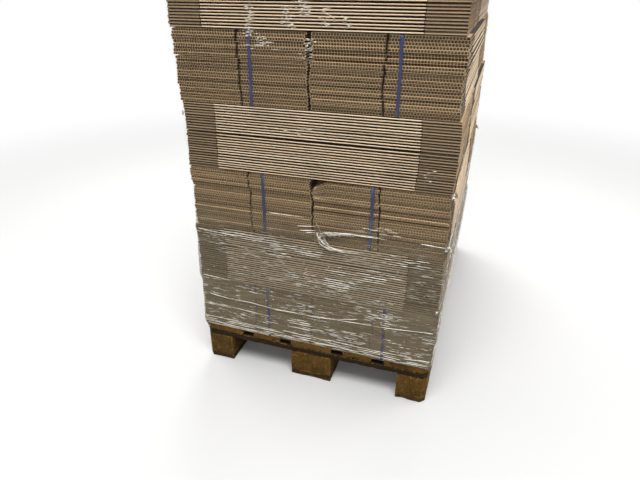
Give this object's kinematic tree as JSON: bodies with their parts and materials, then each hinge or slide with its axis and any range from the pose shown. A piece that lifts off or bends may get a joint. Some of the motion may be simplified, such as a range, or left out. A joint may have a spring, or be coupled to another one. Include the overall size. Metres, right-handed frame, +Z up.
{
  "type": "shrink wrapped pallet load",
  "caption": "Strapped bundles of flattened corrugated cartons, stacked in crossed layers on a wooden four-way pallet and wrapped in clear stretch film.",
  "frame": {"origin": "on the floor, under the middle of the pallet", "axes": "+Z up, +Y along the pallet's long way from the front end to the back end, +X to the right seen from the front"},
  "size_m": [0.8236, 1.207, 1.3364],
  "materials": {
    "cardboard": "kraft corrugated board, dull, with open flutes on the cut edges",
    "pallet_wood": "rough sawn softwood, old and dirty",
    "strapping": "embossed polypropylene strap, satin blue",
    "stretch_film": "clear stretch film, glossy, wrinkled"
  },
  "bodies": {
    "root": {"block_back_left": "pallet_wood", "block_back_middle": "pallet_wood", "block_back_right": "pallet_wood", "block_front_left": "pallet_wood", "block_front_middle": "pallet_wood", "block_front_right": "pallet_wood", "block_middle_left": "pallet_wood", "block_middle_middle": "pallet_wood", "block_middle_right": "pallet_wood", "deck_board_1": "pallet_wood", "deck_board_2": "pallet_wood", "deck_board_3": "pallet_wood", "deck_board_4": "pallet_wood", "deck_board_5": "pallet_wood", "layer_1_back_cross_bundle": "cardboard", "layer_1_back_cross_strap": "strapping", "layer_1_front_left_bundle": "cardboard", "layer_1_front_left_strap": "strapping", "layer_1_front_right_bundle": "cardboard", "layer_1_front_right_strap": "strapping", "layer_2_back_left_bundle": "cardboard", "layer_2_back_left_strap": "strapping", "layer_2_back_right_bundle": "cardboard", "layer_2_back_right_strap": "strapping", "layer_2_front_cross_bundle": "cardboard", "layer_2_front_cross_strap": "strapping", "layer_3_back_cross_bundle": "cardboard", "layer_3_back_cross_strap": "strapping", "layer_3_front_left_bundle": "cardboard", "layer_3_front_left_strap": "strapping", "layer_3_front_right_bundle": "cardboard", "layer_3_front_right_strap": "strapping", "layer_4_back_left_bundle": "cardboard", "layer_4_back_left_strap": "strapping", "layer_4_back_right_bundle": "cardboard", "layer_4_back_right_strap": "strapping", "layer_4_front_cross_bundle": "cardboard", "layer_4_front_cross_strap": "strapping", "layer_5_back_cross_bundle": "cardboard", "layer_5_back_cross_strap": "strapping", "layer_5_front_left_bundle": "cardboard", "layer_5_front_left_strap": "strapping", "layer_5_front_right_bundle": "cardboard", "layer_5_front_right_strap": "strapping", "layer_6_back_left_bundle": "cardboard", "layer_6_back_left_strap": "strapping", "layer_6_back_right_bundle": "cardboard", "layer_6_back_right_strap": "strapping", "layer_6_front_cross_bundle": "cardboard", "layer_6_front_cross_strap": "strapping", "skid_board_left": "pallet_wood", "skid_board_middle": "pallet_wood", "skid_board_right": "pallet_wood", "stretch_film": "stretch_film", "stringer_board_back": "pallet_wood", "stringer_board_front": "pallet_wood", "stringer_board_middle": "pallet_wood"}
  },
  "joints": []
}
